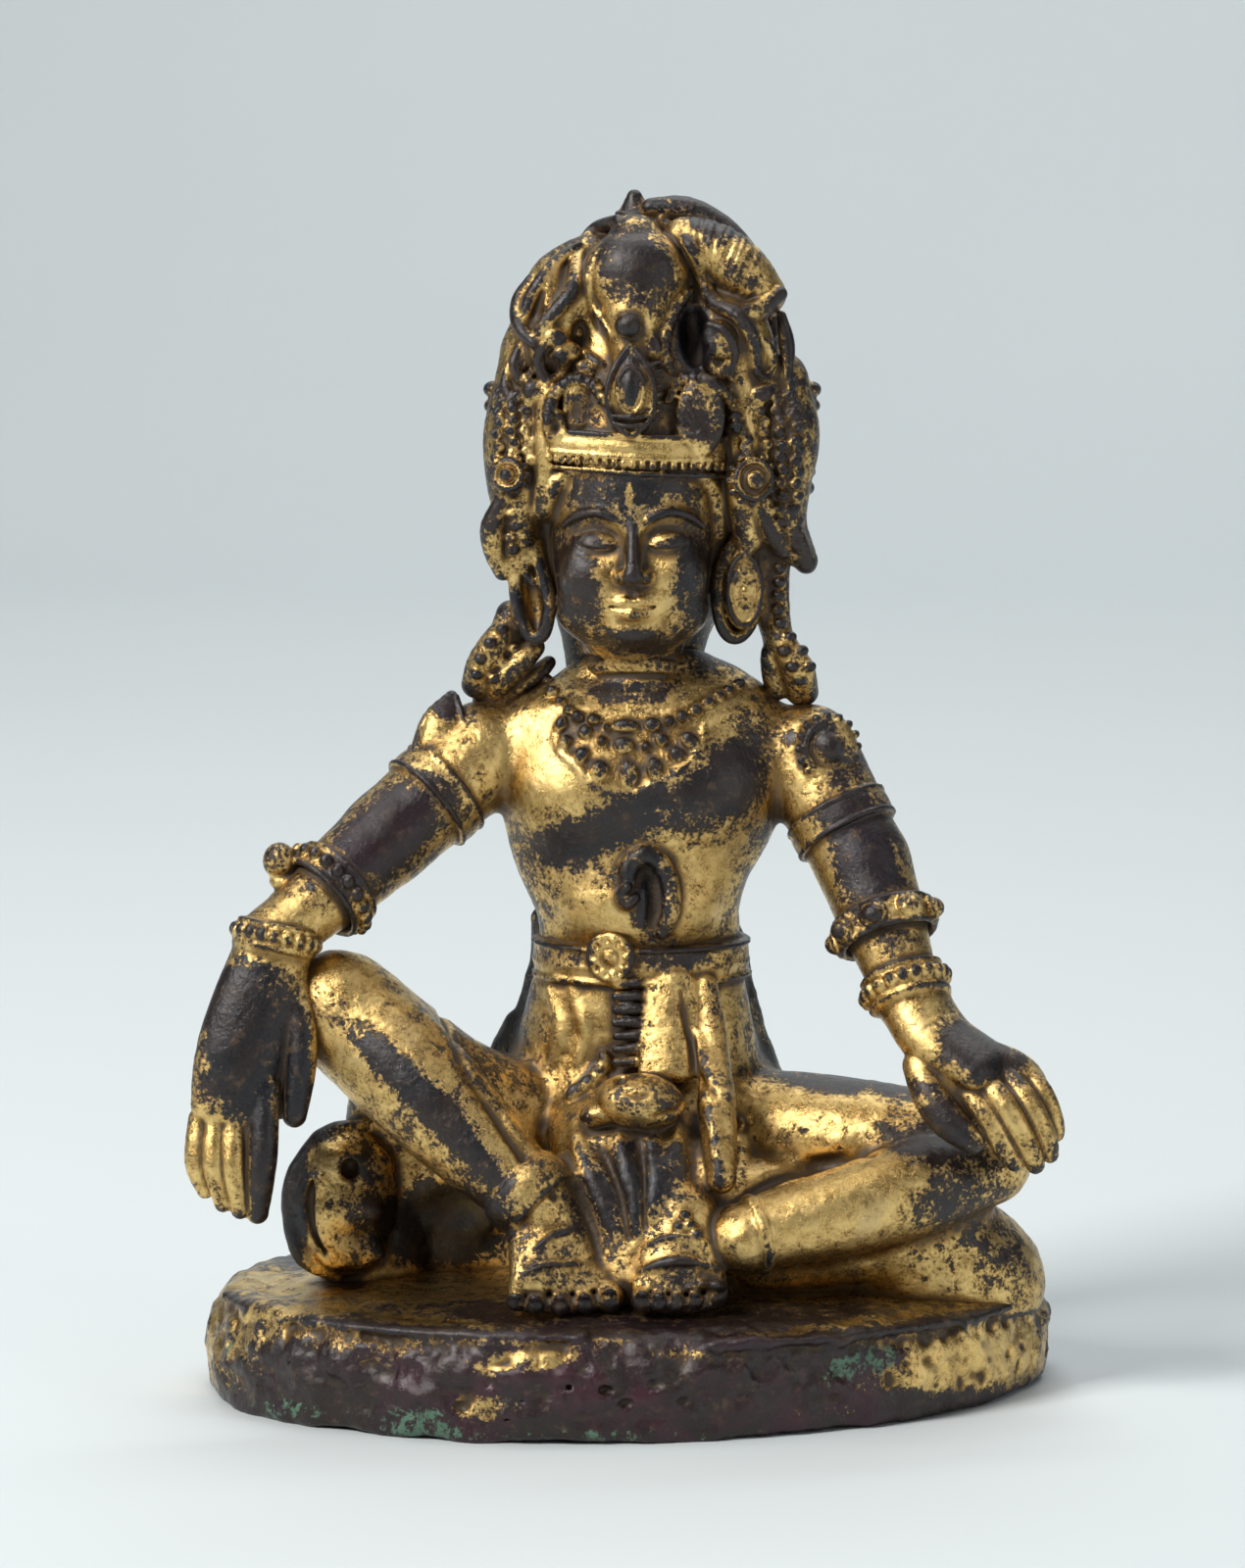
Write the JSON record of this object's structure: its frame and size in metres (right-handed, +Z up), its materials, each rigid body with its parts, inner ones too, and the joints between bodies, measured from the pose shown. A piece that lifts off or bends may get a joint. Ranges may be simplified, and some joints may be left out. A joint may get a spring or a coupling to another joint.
{
  "type": "maitreya statue",
  "caption": "Small gilt copper-alloy figure of a crowned, jewelled bodhisattva seated at ease with one knee raised, cast in one piece with its oval base",
  "frame": {"origin": "the middle of the base's flat underside, which stands on the floor", "axes": "+X to the viewer's right, +Y away from the viewer, +Z up; the figure faces -Y"},
  "size_m": [0.1389, 0.0977, 0.1917],
  "materials": {
    "gilt_copper": "worn fire gilding over dark copper alloy patina, with red and green corrosion on the base"
  },
  "bodies": {
    "root": {"figure_and_base": "gilt_copper"}
  },
  "joints": []
}
